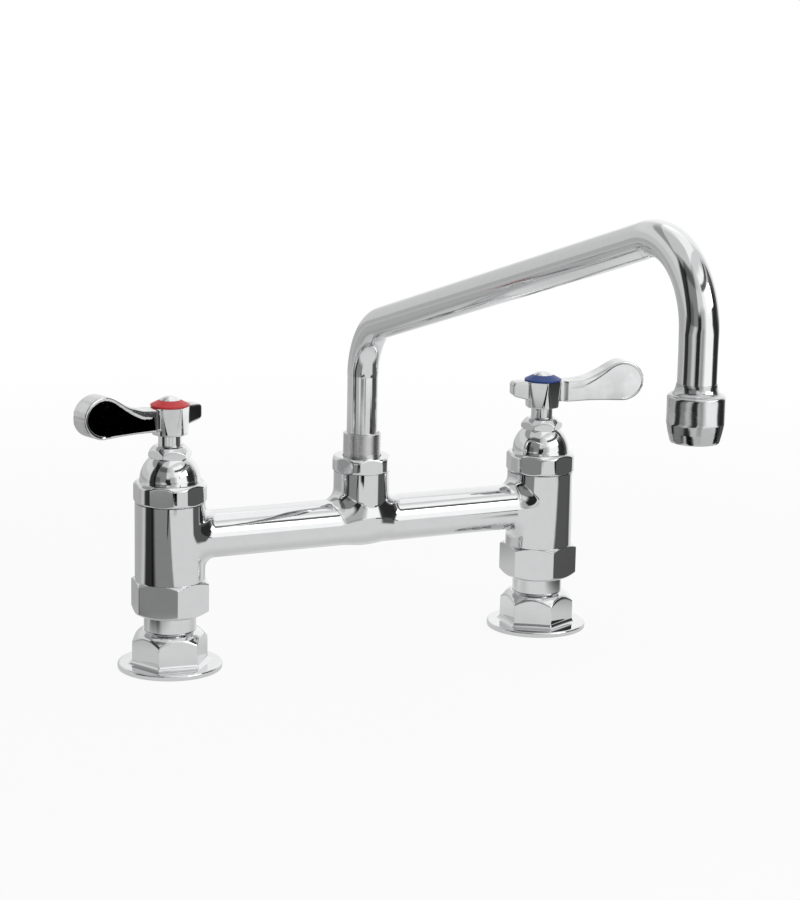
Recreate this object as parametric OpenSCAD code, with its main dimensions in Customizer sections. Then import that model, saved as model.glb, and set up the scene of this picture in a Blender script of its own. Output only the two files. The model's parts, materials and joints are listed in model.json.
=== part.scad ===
// Deck-mount bridge faucet: two flanged inlets, a cast bridge body, two quarter-turn
// valves with lever handles, and a bent swivel spout.
// Origin: on the deck, midway between the inlets. X runs from the hot inlet to the
// cold one, the spout points to -Y, and Z is up.

/* [Layout] */
// Distance between the two inlets, centre to centre
inlet_spacing = 203.2; // [150:0.1:250]
// Angle by which the closed hot lever points forward of the bridge line
hot_lever_turn = 17; // [0:1:20]
// Angle by which the closed cold lever points forward of the bridge line
cold_lever_turn = 11; // [0:1:20]
// Clearance between parts that are screwed or pressed together
fit_gap = 0.05; // [0.02:0.01:0.1]
// Clearance round a turning shaft
run_gap = 0.1; // [0.05:0.01:0.1]

/* [Deck flange] */
// Diameter of the flange that rests on the deck
flange_d = 51.2; // [48:0.2:60]
// Thickness of the flange
flange_t = 2.8; // [2:0.1:5]
// Radius of the cove at the hexagon's foot
foot_fillet = 2.3; // [1:0.1:2.6]
// Width across flats of the lower hexagon
flange_hex_af = 33; // [31:0.2:34]
// Height of the hexagon's flat sides
flange_hex_h = 9.4; // [8:0.1:14]
// Height of the domed shoulder above the hexagon
shoulder_h = 5; // [3:0.1:6]
// Bore of the female supply thread
inlet_bore_d = 18.6; // [17:0.1:19]
// Depth of the female supply thread
inlet_depth = 11; // [9:0.5:12]

/* [Tailpiece] */
// Diameter of the neck between flange and coupling nut
neck_d = 25.5; // [24:0.1:26]
// Length of neck that shows
neck_h = 7.9; // [5:0.1:15]
// Diameter of the threaded shank below the neck
shank_d = 22.4; // [21:0.1:23]
// Water bore of the tailpiece
tail_bore_d = 16; // [12:0.5:17]
// Diameter of the collar that the coupling nut pulls up
collar_d = 29.6; // [28:0.1:30]
// Thickness of the collar
collar_t = 3; // [2:0.1:4]

/* [Coupling nut] */
// Wall of the coupling nut at the middle of its flats
coupling_wall = 2.15; // [1.8:0.05:3.5]
// Height of the coupling nut
coupling_h = 17.1; // [15:0.1:22]
// Thickness of the lip under the collar
coupling_lip = 3; // [2:0.1:4]
// Diameter of the coupling thread
coupling_thread_d = 30.4; // [30:0.1:31]
// Thickness of the rubber coupling washer
washer_t = 2; // [1:0.1:3]

/* [Bridge body] */
// Outside diameter of the two valve barrels
barrel_d = 34.1; // [33:0.1:36]
// Height of barrel from the coupling nut up to the bridge axis
barrel_below = 20.6; // [18.5:0.1:30]
// Height of barrel from the bridge axis up to the bonnet
barrel_above = 17.8; // [17.2:0.1:25]
// Bore of the valve chamber in each barrel
chamber_d = 26; // [25.8:0.1:26.6]
// Depth of the valve seat below the bridge axis
seat_drop = 11.1; // [10:0.1:12]
// Thickness of the web that holds the seat
seat_web = 3; // [2:0.1:4]
// Port through the seat
seat_port_d = 12; // [8:0.5:12]
// Supply bore below the seat
supply_bore_d = 18; // [14:0.5:20]
// Outside diameter of the bridge tube
bridge_d = 23.3; // [20:0.1:24]
// Bore of the bridge tube
bridge_bore_d = 16; // [12:0.5:17]
// Radius of the cast fillets where the bridge meets barrels and post
cast_fillet = 5; // [2:0.5:6]
// Outside diameter of the spout post
post_d = 27.9; // [27:0.1:30]
// Height of the post above the bridge axis
post_h = 25.8; // [24:0.1:40]

/* [Valve] */
// How far the bonnet's wrench ring stands out from the barrel
ring_lip = 0.75; // [0.3:0.05:2]
// Height of the wrench ring
ring_h = 10.4; // [8:0.1:15]
// Depth of the ring's six small flats
ring_flat = 0.9; // [0.3:0.1:1.2]
// Radius of the bonnet's dome
dome_r = 14.7; // [14.2:0.1:15.2]
// Height of the dome above the ring
dome_h = 11.9; // [10.5:0.1:12]
// Length of the bonnet's thread inside the barrel
bonnet_thread_h = 11; // [9:0.1:12]
// Bore of the bonnet for the stem barrel
stem_bore_d = 14; // [13.6:0.1:14.6]
// Width across flats of the gland nut
gland_af = 18.7; // [18:0.1:20]
// Height of the gland nut's hexagon
gland_h = 5.9; // [4:0.1:8]
// Diameter of the gland nut's thread
gland_thread_d = 16.4; // [16:0.1:16.8]
// Length of the gland nut's thread
gland_thread_h = 4.95; // [4:0.05:5.5]
// Diameter of the stem where it shows
stem_d = 11.3; // [10.8:0.1:11.8]
// Length of stem that shows below the handle
stem_show = 5.3; // [3:0.1:12]
// Thickness of each ceramic disc
disc_t = 2.8; // [2:0.1:3]
// Diameter of the fixed ceramic disc
disc_d = 19.8; // [19:0.1:20]

/* [Lever handle] */
// Height of the handle's hub
hub_h = 13.9; // [12.5:0.1:18]
// Width across flats of the hub's hexagon
hub_af = 16.6; // [16:0.1:17.6]
// Angle by which the hub's hexagon is turned from the lever
hub_turn = 30; // [0:1:30]
// Distance from the stem axis to the centre of the paddle
lever_reach = 41.6; // [34:0.1:60]
// Radius of the paddle's round end
paddle_r = 10.4; // [9:0.1:12]
// Thickness of the lever's blade
lever_t = 11.5; // [9.5:0.1:13]
// Thickness of the lever's narrow neck at the hub
neck_t = 8; // [6:0.1:8.6]
// Depth of the lever where it leaves the hub
lever_depth = 11; // [10:0.1:11.8]
// Distance from the stem axis to the end of the short stub
stub_reach = 17; // [14:0.1:22]
// Depth of the hollow in each side of the paddle
scoop_depth = 0.8; // [0.5:0.1:2]
// Diameter of the coloured index ring
index_d = 19; // [17:0.1:19.4]
// Height of the index ring
index_h = 3; // [2.8:0.1:5]
// Diameter of the domed button that covers the handle screw
button_d = 10.2; // [9:0.1:12]
// Height of the button's dome
button_h = 1.8; // [1.5:0.1:3]
// Diameter of the handle screw's shank
screw_d = 4.2; // [3:0.1:5]

/* [Spout] */
// Outside diameter of the spout tube
tube_d = 15.5; // [14:0.1:15.6]
// Wall of the spout tube
tube_wall = 1; // [0.8:0.1:1.5]
// Distance from the post axis forward to the outlet axis
spout_reach = 309; // [220:1:400]
// Length of straight riser between the ferrule and the first bend
riser_h = 28.2; // [15:0.1:80]
// Rise of the sloping leg above level, in degrees
spout_slope = 16.1; // [5:0.1:25]
// Radius of the tube's two bends, to the tube's axis
bend_r = 32; // [26:0.5:45]
// Straight drop between the last bend and the nozzle
drop_h = 19.6; // [5:0.1:40]
// Diameter of the spout nut
spout_nut_d = 30.1; // [29.6:0.1:32]
// Height of the spout nut
spout_nut_h = 7.8; // [7.4:0.1:12]
// Width across the spout nut's six flats
spout_nut_af = 27.8; // [27.4:0.1:28.6]
// Wall of the ferrule round the tube
ferrule_wall = 1.6; // [1.4:0.1:1.9]
// Length of ferrule that shows above the nut
ferrule_show = 11.5; // [5:0.1:20]
// Length of ferrule inside the post
ferrule_in = 10.3; // [9:0.1:11.5]

/* [Nozzle] */
// Widest diameter of the nozzle
nozzle_d = 22.6; // [21:0.1:26]
// Diameter of the nozzle's lower rim
nozzle_rim_d = 19.6; // [19:0.1:21]
// Overall height of the nozzle
nozzle_h = 23; // [21:0.1:30]
// Height of the flare from tube to shoulder
flare_h = 4.3; // [3:0.1:5]
// Height of the tapered lower part
taper_h = 7.5; // [4:0.1:9]
// Diameter of the cavity inside the nozzle
cavity_d = 17.4; // [16.8:0.1:17.8]

/* [Hidden] */
$fn = 96;

HOT = -1;
COLD = 1;
CHROME = [0.80, 0.81, 0.82];
STEEL = [0.62, 0.62, 0.60];
BRASS = [0.78, 0.63, 0.30];
RUBBER = [0.12, 0.12, 0.12];
CERAMIC = [0.94, 0.93, 0.90];
PLASTIC = [0.92, 0.92, 0.94];
RED = [0.80, 0.13, 0.15];
BLUE = [0.10, 0.22, 0.55];

// How far each hexagon is turned about its axis, as it happened to be tightened
hot_coupling_turn = 21;
cold_coupling_turn = 26;
hot_flange_turn = 54;
cold_flange_turn = 26;
hot_ring_turn = 26;
cold_ring_turn = 16;
hot_gland_turn = 52;
cold_gland_turn = 40;
spout_nut_turn = 56;

// Heights of the joints of the stack, from the deck up
z_hex = flange_t + foot_fillet;
z_shoulder = z_hex + flange_hex_h;
z_neck = z_shoulder + shoulder_h;
z_coupling = z_neck + neck_h;
z_barrel = z_coupling + coupling_h;
z_axis = z_barrel + barrel_below;
z_ring = z_axis + barrel_above;
z_dome = z_ring + ring_h;
z_gland = z_dome + dome_h;
z_stem = z_gland + gland_h;
z_hub = z_stem + stem_show;
z_index = z_hub + hub_h;
z_button = z_index + index_h;

// Inside the coupling: collar, washer and the end of the body's spigot
z_collar = z_coupling + coupling_lip + fit_gap;
z_washer = z_collar + collar_t;
z_spigot = z_washer + washer_t;
spigot_r = coupling_thread_d / 2 - fit_gap;
coupling_af = coupling_thread_d + 2 * coupling_wall;

// Bonnet ring, a little wider than the barrel
ring_d = barrel_d + 2 * ring_lip;
ring_af = ring_d - 2 * ring_flat;

// Inside the valve chamber
z_seat = z_axis - seat_drop;
z_sleeve_top = z_ring - bonnet_thread_h;
seal_t = 1.6;
seal_r = seat_port_d / 2 + 0.3;
seal_w = 2.3;
z_disc = z_seat + seal_t;
z_turning = z_disc + disc_t + fit_gap;
z_foot = z_turning + disc_t;
sleeve_r = chamber_d / 2 - run_gap;
sleeve_bore_r = disc_d / 2 + run_gap;
disc_gap = 0.3;
turning_r = disc_d / 2 - disc_gap;
foot_t = 1.8;
shaft_r = 4;
window_w = 9;
window_h = z_sleeve_top - z_foot - 3;
bonnet_wall = 2.35;
bonnet_room_r = chamber_d / 2 - fit_gap - bonnet_wall;
bonnet_room_h = 5;
thrust_t = 1.5;
z_thrust = z_sleeve_top + bonnet_room_h - thrust_t - fit_gap;
thrust_flange_t = 2.5;
thrust_flange_r = bonnet_room_r - 0.6;
stem_barrel_r = stem_bore_d / 2 - run_gap;
packing_t = 2;
z_packing = z_gland - gland_thread_h - packing_t - fit_gap;
z_stem_step = z_packing - 0.7;
oring_r = 0.75;
oring_path_r = stem_barrel_r - oring_r + fit_gap;
groove_depth = 1.5;
groove_w = 1.8;
oring_levels = [for (k = [0.35, 0.7]) z_thrust + k * (z_stem_step - z_thrust)];
seal_ring_w = 1.6;
gland_top_r = 7.6;

// Drive between stem and handle: two squares turned by 45 degrees
drive_side = 7.2;
drive_entry = 1.5;
hub_web = 2.8;
z_drive_top = z_index - hub_web - 0.2;
screw_depth = 10;
screw_head_r = 3.4;
screw_head_h = 1.8;
index_bore_r = 3.9;

// Lever handle, seen from its side: x along the lever, y up
hub_taper = 0.8;
hub_r = hub_af / 2 / cos(30);
lever_top = z_index;
lever_bottom = lever_top - lever_depth;
paddle_z = lever_bottom + paddle_r;
paddle_len = 1.3;
sweep_x = lever_reach - 29.6;
// A circle of this radius touches both the lever's top edge and the paddle's round end
sweep_r = (pow(lever_reach - sweep_x, 2) + pow(paddle_z - lever_top, 2) - pow(paddle_r, 2))
    / (2 * (paddle_r + paddle_z - lever_top));
sweep_len = norm([lever_reach - sweep_x, paddle_z - lever_top - sweep_r]);
sweep_dir = [sweep_x - lever_reach, lever_top + sweep_r - paddle_z] / sweep_len;
scoop_rim = 1.2;
scoop_foot = paddle_r - scoop_rim;
scoop_r = (scoop_foot * scoop_foot + scoop_depth * scoop_depth) / (2 * scoop_depth);

// Spout
z_post = z_axis + post_h;
z_nut_top = z_post + spout_nut_h;
nut_lip = 1.8;
snap_t = 1;
ferrule_d = tube_d + 2 * ferrule_wall;
post_thread_r = spout_nut_af / 2 - 1.7;
z_post_top = z_nut_top - nut_lip - snap_t - 2 * run_gap;
z_snap = z_post_top + run_gap;
snap_groove_r = ferrule_d / 2 - 0.55;
snap_r = post_thread_r - 0.6;
snap_opening = 40;
ferrule_bore_r = ferrule_d / 2 + run_gap;
z_ferrule = z_post - ferrule_in;
z_ferrule_top = z_nut_top + ferrule_show;
z_tube = z_post + 1.75;
tube_r = tube_d / 2;
tube_bore_r = tube_r - tube_wall;
spout_oring_r = 0.55;
spout_oring_path_r = ferrule_bore_r - spout_oring_r - 0.03;
spout_groove_depth = 1.05;
spout_groove_w = 1.5;
spout_oring_levels = [for (k = [0.32, 0.75]) z_ferrule + k * ferrule_in];

// Centre line of the spout: riser, first bend, sloping leg, second bend, drop
z_bend = z_ferrule_top + riser_h;
bend1 = 90 - spout_slope;
bend2 = 90 + spout_slope;
leg_y = bend_r * (1 - cos(bend1));
leg_z = z_bend + bend_r * sin(bend1);
leg_run = spout_reach - leg_y - bend_r * (1 + sin(spout_slope));
leg_len = leg_run / cos(spout_slope);
z_drop = leg_z + leg_run * tan(spout_slope) - bend_r * cos(spout_slope);
// The tube swells a little in its bends, and a little way past them
bend_swell = 0.15;
bend_lap = 1.5;
z_nozzle_top = z_drop - drop_h;
z_outlet = z_nozzle_top - nozzle_h;

// Inside the nozzle
socket_h = 9.5;
z_cavity = z_nozzle_top - socket_h;
nozzle_r = nozzle_d / 2;
cavity_r = cavity_d / 2;
outlet_washer_t = 1.5;
straightener_t = 3;
screen_t = 0.5;
insert_r = cavity_r - fit_gap;
z_out_washer = z_cavity - fit_gap - outlet_washer_t;
z_straightener = z_out_washer - straightener_t;
z_screen = z_straightener - screen_t;
retainer_h = 5;
z_retainer = z_screen - retainer_h;
retainer_bore_r = 7;
straightener_pitch = 3.1;
straightener_hole_d = 2;
screen_pitch = 2.2;
screen_hole = 1.4;

// Points of an arc, for outlines
function arc(c, r, a0, a1, n = 6) =
    [for (i = [0:n]) c + r * [cos(a0 + (a1 - a0) * i / n), sin(a0 + (a1 - a0) * i / n)]];

// Outline of a disc from the axis out to r, with rounded outer edges
function rounded(r, z0, z1, e0, e1) = concat([[0, z0]],
    e0 > 0 ? arc([r - e0, z0 + e0], e0, -90, 0, 4) : [[r, z0]],
    e1 > 0 ? arc([r - e1, z1 - e1], e1, 0, 90, 4) : [[r, z1]],
    [[0, z1]]);

module turned(points) {
    rotate_extrude() polygon(points);
}

module tube(r_out, r_in, z0, z1) {
    translate([0, 0, z0]) difference() {
        cylinder(r = r_out, h = z1 - z0);
        translate([0, 0, -1]) cylinder(r = r_in, h = z1 - z0 + 2);
    }
}

module bore(r, z0, z1) {
    translate([0, 0, z0]) cylinder(r = r, h = z1 - z0);
}

module hexagon(af, z0, z1, turn) {
    translate([0, 0, z0]) rotate(turn) cylinder(d = af / cos(30), h = z1 - z0, $fn = 6);
}

module valve_at(side) {
    translate([side * inlet_spacing / 2, 0, 0]) children();
}

// Handles, stems and discs: closed, pointing outward and a little forward
module handle_at(side) {
    turn = side == HOT ? 180 + hot_lever_turn : -cold_lever_turn;
    valve_at(side) rotate(turn) children();
}

// Steps of the domed shoulder: share of the way in, share of the way up
shoulder_steps = [[0.25, 0.3], [0.44, 0.6], [0.68, 0.86], [1, 1]];

module deck_flange(turn) {
    hex_r = flange_hex_af / 2 / cos(30);
    run = hex_r - neck_d / 2 - 0.4;
    difference() {
        union() {
            turned(rounded(flange_d / 2, 0, flange_t, 0.5, 0.9));
            turned(concat([[0, flange_t - 1], [hex_r + foot_fillet, flange_t - 1]],
                [for (i = [0:6]) [hex_r + 0.3 + (foot_fillet - 0.3) * (1 - sin(i * 15)),
                flange_t + foot_fillet * (1 - cos(i * 15))]], [[0, z_hex]]));
            intersection() {
                hexagon(flange_hex_af, flange_t - 1, z_neck, turn);
                turned(concat([[0, 0], [hex_r + 1, 0], [hex_r + 1, z_shoulder - 1]],
                    [for (s = shoulder_steps) [hex_r - s[0] * run, z_shoulder + s[1] * shoulder_h]],
                    [[0, z_neck]]));
            }
        }
        bore(inlet_bore_d / 2, -1, inlet_depth);
        bore(shank_d / 2 + fit_gap, inlet_depth - fit_gap, z_neck + 1);
    }
}

module tailpiece() {
    difference() {
        union() {
            bore(shank_d / 2, inlet_depth, z_neck);
            bore(neck_d / 2, z_neck, z_collar);
            bore(collar_d / 2, z_collar, z_washer);
        }
        bore(tail_bore_d / 2, inlet_depth - 1, z_washer + 1);
    }
}

module coupling_nut(turn) {
    hex_r = coupling_af / 2 / cos(30);
    difference() {
        intersection() {
            hexagon(coupling_af, z_coupling, z_barrel, turn);
            turned([[0, z_coupling], [hex_r - 4.4, z_coupling], [hex_r + 0.9, z_coupling + 3],
                [hex_r + 0.9, z_barrel - 1.8], [hex_r - 2.3, z_barrel], [0, z_barrel]]);
        }
        bore(neck_d / 2 + run_gap, z_coupling - 1, z_barrel);
        bore(coupling_thread_d / 2, z_coupling + coupling_lip, z_barrel + 1);
    }
}

module coupling_washer() {
    tube(collar_d / 2, tail_bore_d / 2, z_washer, z_spigot);
}

// Flared end of a level tube: runs out along X onto the tube, and back by inner,
// and reaches from height low up to the top
module flare(side, r, f, inner, low) {
    intersection() {
        rotate([0, side * 90, 0]) turned(concat([[0, -inner], [r + f, -inner]],
            [for (i = [0:6]) [r + f - f * sin(i * 15), f - f * cos(i * 15)]], [[0, f]]));
        translate([-inner - f, -r - 0.2, low]) cube([2 * (inner + f), 2 * r + 0.4, r + f + 1 - low]);
    }
}

module barrel_shell() {
    bore(spigot_r, z_spigot, z_barrel);
    bore(barrel_d / 2, z_barrel, z_ring);
}

module barrel_bores() {
    bore(supply_bore_d / 2, z_spigot - 1, z_seat - seat_web);
    bore(seat_port_d / 2, z_seat - seat_web - 1, z_seat + 1);
    bore(chamber_d / 2, z_seat, z_ring + 1);
    bore(chamber_d / 2 + seal_ring_w, z_ring - seal_ring_w - fit_gap, z_ring + 1);
}

module cast_body() {
    half = inlet_spacing / 2;
    bridge_r = bridge_d / 2;
    post_sink = bridge_r / 2;
    wall_x = sqrt(pow(barrel_d, 2) - pow(bridge_d, 2)) / 2;
    post_x = sqrt(pow(post_d, 2) - pow(bridge_d, 2)) / 2;
    difference() {
        union() {
            for (side = [HOT, COLD]) {
                valve_at(side) barrel_shell();
                translate([side * (half - barrel_d / 2), 0, z_axis])
                    flare(-side, bridge_r, cast_fillet, barrel_d / 2 - wall_x + 1,
                        -bridge_r - cast_fillet - 1);
                translate([side * post_d / 2, 0, z_axis])
                    flare(side, bridge_r, cast_fillet, post_d / 2 - post_x + 1, bridge_r / 2);
            }
            translate([-half, 0, z_axis]) rotate([0, 90, 0])
                cylinder(d = bridge_d, h = inlet_spacing);
            // the post ends in a round bowl that sinks into the bridge
            translate([0, 0, z_axis + post_sink]) sphere(d = post_d);
            bore(post_d / 2, z_axis + post_sink, z_post);
            bore(post_thread_r, z_post - 1, z_post_top);
        }
        for (side = [HOT, COLD]) valve_at(side) barrel_bores();
        translate([-half, 0, z_axis]) rotate([0, 90, 0])
            cylinder(d = bridge_bore_d, h = inlet_spacing);
        bore(bridge_bore_d / 2, z_axis, z_ferrule);
        bore(ferrule_bore_r, z_ferrule - 1, z_post_top + 1);
    }
}

// Sleeve that holds the discs, with four windows for the water
module cartridge_sleeve() {
    difference() {
        tube(sleeve_r, sleeve_bore_r, z_seat, z_sleeve_top - fit_gap);
        for (a = [0, 90]) translate([0, 0, z_foot + window_h / 2 + 1]) rotate(a)
            cube([2 * sleeve_r + 2, window_w, window_h], center = true);
    }
}

module seat_seal() {
    tube(seal_r + seal_w, seal_r, z_seat, z_disc);
}

// Two quarter-round ports, opposite each other
module disc_ports(z0, z1) {
    for (a = [0, 180]) rotate(a) translate([0, 0, z0]) rotate_extrude(angle = 80)
        translate([2, 0]) square([seat_port_d / 2 - 2, z1 - z0]);
}

module fixed_disc() {
    difference() {
        bore(disc_d / 2, z_disc, z_disc + disc_t);
        disc_ports(z_disc - 1, z_disc + disc_t + 1);
    }
}

module drive_key(z0, h, gap) {
    translate([0, 0, z0 + h / 2]) cube([turning_r * 1.5 + 2 * gap, 2.4 + 2 * gap, h], center = true);
}

module turning_disc() {
    difference() {
        bore(turning_r, z_turning, z_foot);
        rotate(90) disc_ports(z_turning - 1, z_foot + 1);
        rotate(45) drive_key(z_foot - 1, 2, fit_gap);
    }
}

module bonnet(turn) {
    difference() {
        union() {
            bore(chamber_d / 2 - fit_gap, z_sleeve_top, z_ring + 1);
            intersection() {
                turned(rounded(ring_d / 2, z_ring, z_dome, 1.4, 1.2));
                hexagon(ring_af, z_ring - 1, z_dome + 1, turn);
            }
            intersection() {
                translate([0, 0, z_dome + 0.7]) sphere(r = dome_r);
                bore(dome_r + 1, z_dome - 1, z_gland);
            }
        }
        bore(bonnet_room_r, z_sleeve_top - 1, z_sleeve_top + bonnet_room_h);
        bore(stem_bore_d / 2, z_sleeve_top, z_packing + 1);
        bore(gland_thread_d / 2 + fit_gap, z_packing, z_gland + 1);
    }
}

module bonnet_seal() {
    tube(chamber_d / 2 + seal_ring_w - fit_gap, chamber_d / 2, z_ring - seal_ring_w, z_ring);
}

module thrust_washer() {
    tube(bonnet_room_r - fit_gap, stem_bore_d / 2, z_thrust, z_thrust + thrust_t);
}

module packing_ring() {
    tube(gland_thread_d / 2, stem_d / 2 + run_gap, z_packing, z_packing + packing_t);
}

module gland_nut(turn) {
    hex_r = gland_af / 2 / cos(30);
    difference() {
        union() {
            bore(gland_thread_d / 2, z_gland - gland_thread_h, z_gland + 1);
            intersection() {
                hexagon(gland_af, z_gland, z_stem, turn);
                turned([[0, z_gland], [hex_r - 1.2, z_gland], [hex_r + 0.5, z_gland + 1],
                    [hex_r + 0.5, z_gland + gland_h * 0.3], [gland_top_r, z_stem - 0.3],
                    [gland_top_r - 0.4, z_stem], [0, z_stem]]);
            }
        }
        bore(stem_d / 2 + run_gap, z_packing, z_stem + 1);
    }
}

// Star section of the drive, made of two squares
module drive_star(gap) {
    for (a = [0, 45]) rotate(a) square(drive_side + 2 * gap, center = true);
}

module stem() {
    difference() {
        union() {
            bore(turning_r, z_foot, z_foot + foot_t);
            rotate(45) drive_key(z_foot - 0.95, 1.95, 0);
            bore(shaft_r, z_foot, z_thrust);
            bore(thrust_flange_r, z_thrust - thrust_flange_t - fit_gap, z_thrust - fit_gap);
            bore(stem_barrel_r, z_thrust - 1, z_stem_step);
            bore(stem_d / 2, z_stem_step - 1, z_hub + drive_entry);
            translate([0, 0, z_hub]) linear_extrude(z_drive_top - z_hub) drive_star(0);
        }
        rotate(90) difference() {
            disc_ports(z_foot - 1, z_foot + foot_t + 1);
            bore(shaft_r, z_foot - 2, z_foot + foot_t + 2);
        }
        for (z = oring_levels)
            tube(stem_bore_d, stem_barrel_r - groove_depth, z - groove_w / 2, z + groove_w / 2);
        bore(screw_d / 2 + fit_gap, z_drive_top - screw_depth, z_drive_top + 1);
    }
}

module stem_orings() {
    for (z = oring_levels) translate([0, 0, z]) rotate_extrude()
        translate([oring_path_r, 0]) circle(r = oring_r, $fn = 32);
}

// Side view of lever and paddle
module lever_side() {
    stop = atan2(-sweep_dir[1], -sweep_dir[0]);
    polygon(concat([[0, lever_bottom], [0, lever_top]],
        arc([sweep_x, lever_top + sweep_r], sweep_r, -90, stop, 12),
        [[lever_reach, paddle_z], [lever_reach, lever_bottom]]));
    for (x = [lever_reach, lever_reach + paddle_len]) translate([x, paddle_z]) circle(r = paddle_r);
    translate([lever_reach, lever_bottom]) square([paddle_len, 2 * paddle_r]);
}

// View from above: narrow neck, shoulder and blade
module lever_plan() {
    half = lever_t / 2;
    neck = neck_t / 2;
    shoulder = hub_r + 0.6;
    tip = lever_reach + paddle_len + paddle_r + 1;
    polygon([[0, -neck], [shoulder, -neck], [shoulder + half - neck, -half], [tip, -half],
        [tip, half], [shoulder + half - neck, half], [shoulder, neck], [0, neck]]);
}

module stub_side() {
    polygon([[0, lever_bottom + 0.4], [-hub_r, lever_bottom + 0.6],
        [-stub_reach + 1.5, lever_bottom + 2.6], [-stub_reach, lever_bottom + 4.2],
        [-stub_reach, lever_top - 1.6], [-stub_reach + 1.6, lever_top], [0, lever_top]]);
}

module upright(half) {
    translate([0, half, 0]) rotate([90, 0, 0]) linear_extrude(2 * half) children();
}

module hub() {
    intersection() {
        hexagon(hub_af, z_hub - 1, z_index + 1, hub_turn);
        turned([[0, z_hub], [hub_r - hub_taper - 0.8, z_hub], [hub_r - hub_taper, z_hub + 0.8],
            [hub_r + 0.1, z_index - 0.8], [hub_r - 0.5, z_index], [0, z_index]]);
    }
}

module handle() {
    difference() {
        union() {
            hub();
            upright(neck_t / 2) stub_side();
            difference() {
                intersection() {
                    upright(lever_t) lever_side();
                    translate([0, 0, lever_bottom - 1]) linear_extrude(2 * paddle_r + 2) lever_plan();
                }
                for (s = [-1, 1])
                    translate([lever_reach, s * (lever_t / 2 + scoop_r - scoop_depth), paddle_z])
                        sphere(r = scoop_r);
            }
        }
        bore(stem_d / 2 + fit_gap, z_hub - 1, z_hub + drive_entry + fit_gap);
        translate([0, 0, z_hub]) linear_extrude(hub_h - hub_web) drive_star(fit_gap);
        bore(screw_d / 2 + run_gap, z_hub, z_index + 1);
    }
}

module index_cone() {
    difference() {
        turned([[0, z_index], [index_d / 2, z_index], [index_d / 2, z_index + 0.8],
            [index_d / 2 - 0.5, z_index + 1.2], [button_d / 2, z_button], [0, z_button]]);
        bore(index_bore_r, z_index - 1, z_button + 1);
    }
}

// Button that snaps into the index ring and hides the screw
module button() {
    cap_r = (pow(button_d / 2, 2) + pow(button_h, 2)) / (2 * button_h);
    intersection() {
        bore(button_d / 2, z_button, z_button + button_h);
        translate([0, 0, z_button + button_h - cap_r]) sphere(r = cap_r);
    }
    bore(index_bore_r - fit_gap, z_index + screw_head_h + 0.2, z_button);
}

module screw() {
    difference() {
        union() {
            bore(screw_d / 2, z_drive_top - screw_depth + 0.5, z_index);
            bore(screw_head_r, z_index, z_index + screw_head_h);
        }
        translate([0, 0, z_index + screw_head_h])
            cube([2 * screw_head_r + 1, 1, 1.6], center = true);
    }
}

module ferrule_nut() {
    difference() {
        intersection() {
            turned(rounded(spout_nut_d / 2, z_post, z_nut_top, 1.1, 1.3));
            hexagon(spout_nut_af, z_post - 1, z_nut_top + 1, spout_nut_turn);
        }
        bore(post_thread_r + fit_gap, z_post - 1, z_nut_top - nut_lip);
        bore(ferrule_d / 2 + 0.3, z_post, z_nut_top + 1);
    }
}

// Part of a bend in the spout's plane, from one angle to another above its centre
module bend(r, start, angle) {
    lap = bend_lap / bend_r * 180 / PI;
    rotate([90, 0, 90]) rotate(start - lap) rotate_extrude(angle = angle + 2 * lap)
        translate([bend_r, 0]) circle(r = r + bend_swell);
}

// The spout's path as a solid rod of radius r, longer at both ends by extra
module rod(r, extra) {
    bore(r, z_tube - extra, z_bend);
    translate([0, -bend_r, z_bend]) bend(r, 0, bend1);
    translate([0, -leg_y, leg_z]) rotate([bend1, 0, 0]) cylinder(r = r, h = leg_len);
    translate([0, -spout_reach + bend_r, z_drop]) bend(r, bend1, bend2);
    translate([0, -spout_reach, 0]) bore(r, z_cavity - extra, z_drop);
}

module bent_tube() {
    difference() {
        rod(tube_r, 0);
        rod(tube_bore_r, 1);
    }
}

module ferrule() {
    difference() {
        turned([[0, z_ferrule], [ferrule_d / 2 - 0.5, z_ferrule], [ferrule_d / 2, z_ferrule + 0.8],
            [ferrule_d / 2, z_ferrule_top - 0.4], [ferrule_d / 2 - 0.4, z_ferrule_top],
            [0, z_ferrule_top]]);
        bore(tube_bore_r, z_ferrule - 1, z_ferrule_top);
        bore(tube_r + fit_gap, z_tube - fit_gap, z_ferrule_top + 1);
        // bevelled mouth
        translate([0, 0, z_ferrule_top - 0.7])
            cylinder(r1 = tube_r + fit_gap, r2 = tube_r + fit_gap + 0.7, h = 0.7);
        tube(ferrule_d, snap_groove_r, z_snap - fit_gap, z_snap + snap_t + fit_gap);
        for (z = spout_oring_levels)
            tube(ferrule_d, ferrule_d / 2 - spout_groove_depth,
                z - spout_groove_w / 2, z + spout_groove_w / 2);
    }
}

module snap_ring() {
    translate([0, 0, z_snap]) rotate(snap_opening / 2) rotate_extrude(angle = 360 - snap_opening)
        translate([snap_groove_r + fit_gap, 0]) square([snap_r - snap_groove_r - fit_gap, snap_t]);
}

module ferrule_orings() {
    for (z = spout_oring_levels) translate([0, 0, z]) rotate_extrude()
        translate([spout_oring_path_r, 0]) circle(r = spout_oring_r, $fn = 32);
}

module at_outlet() {
    translate([0, -spout_reach, 0]) children();
}

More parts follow.
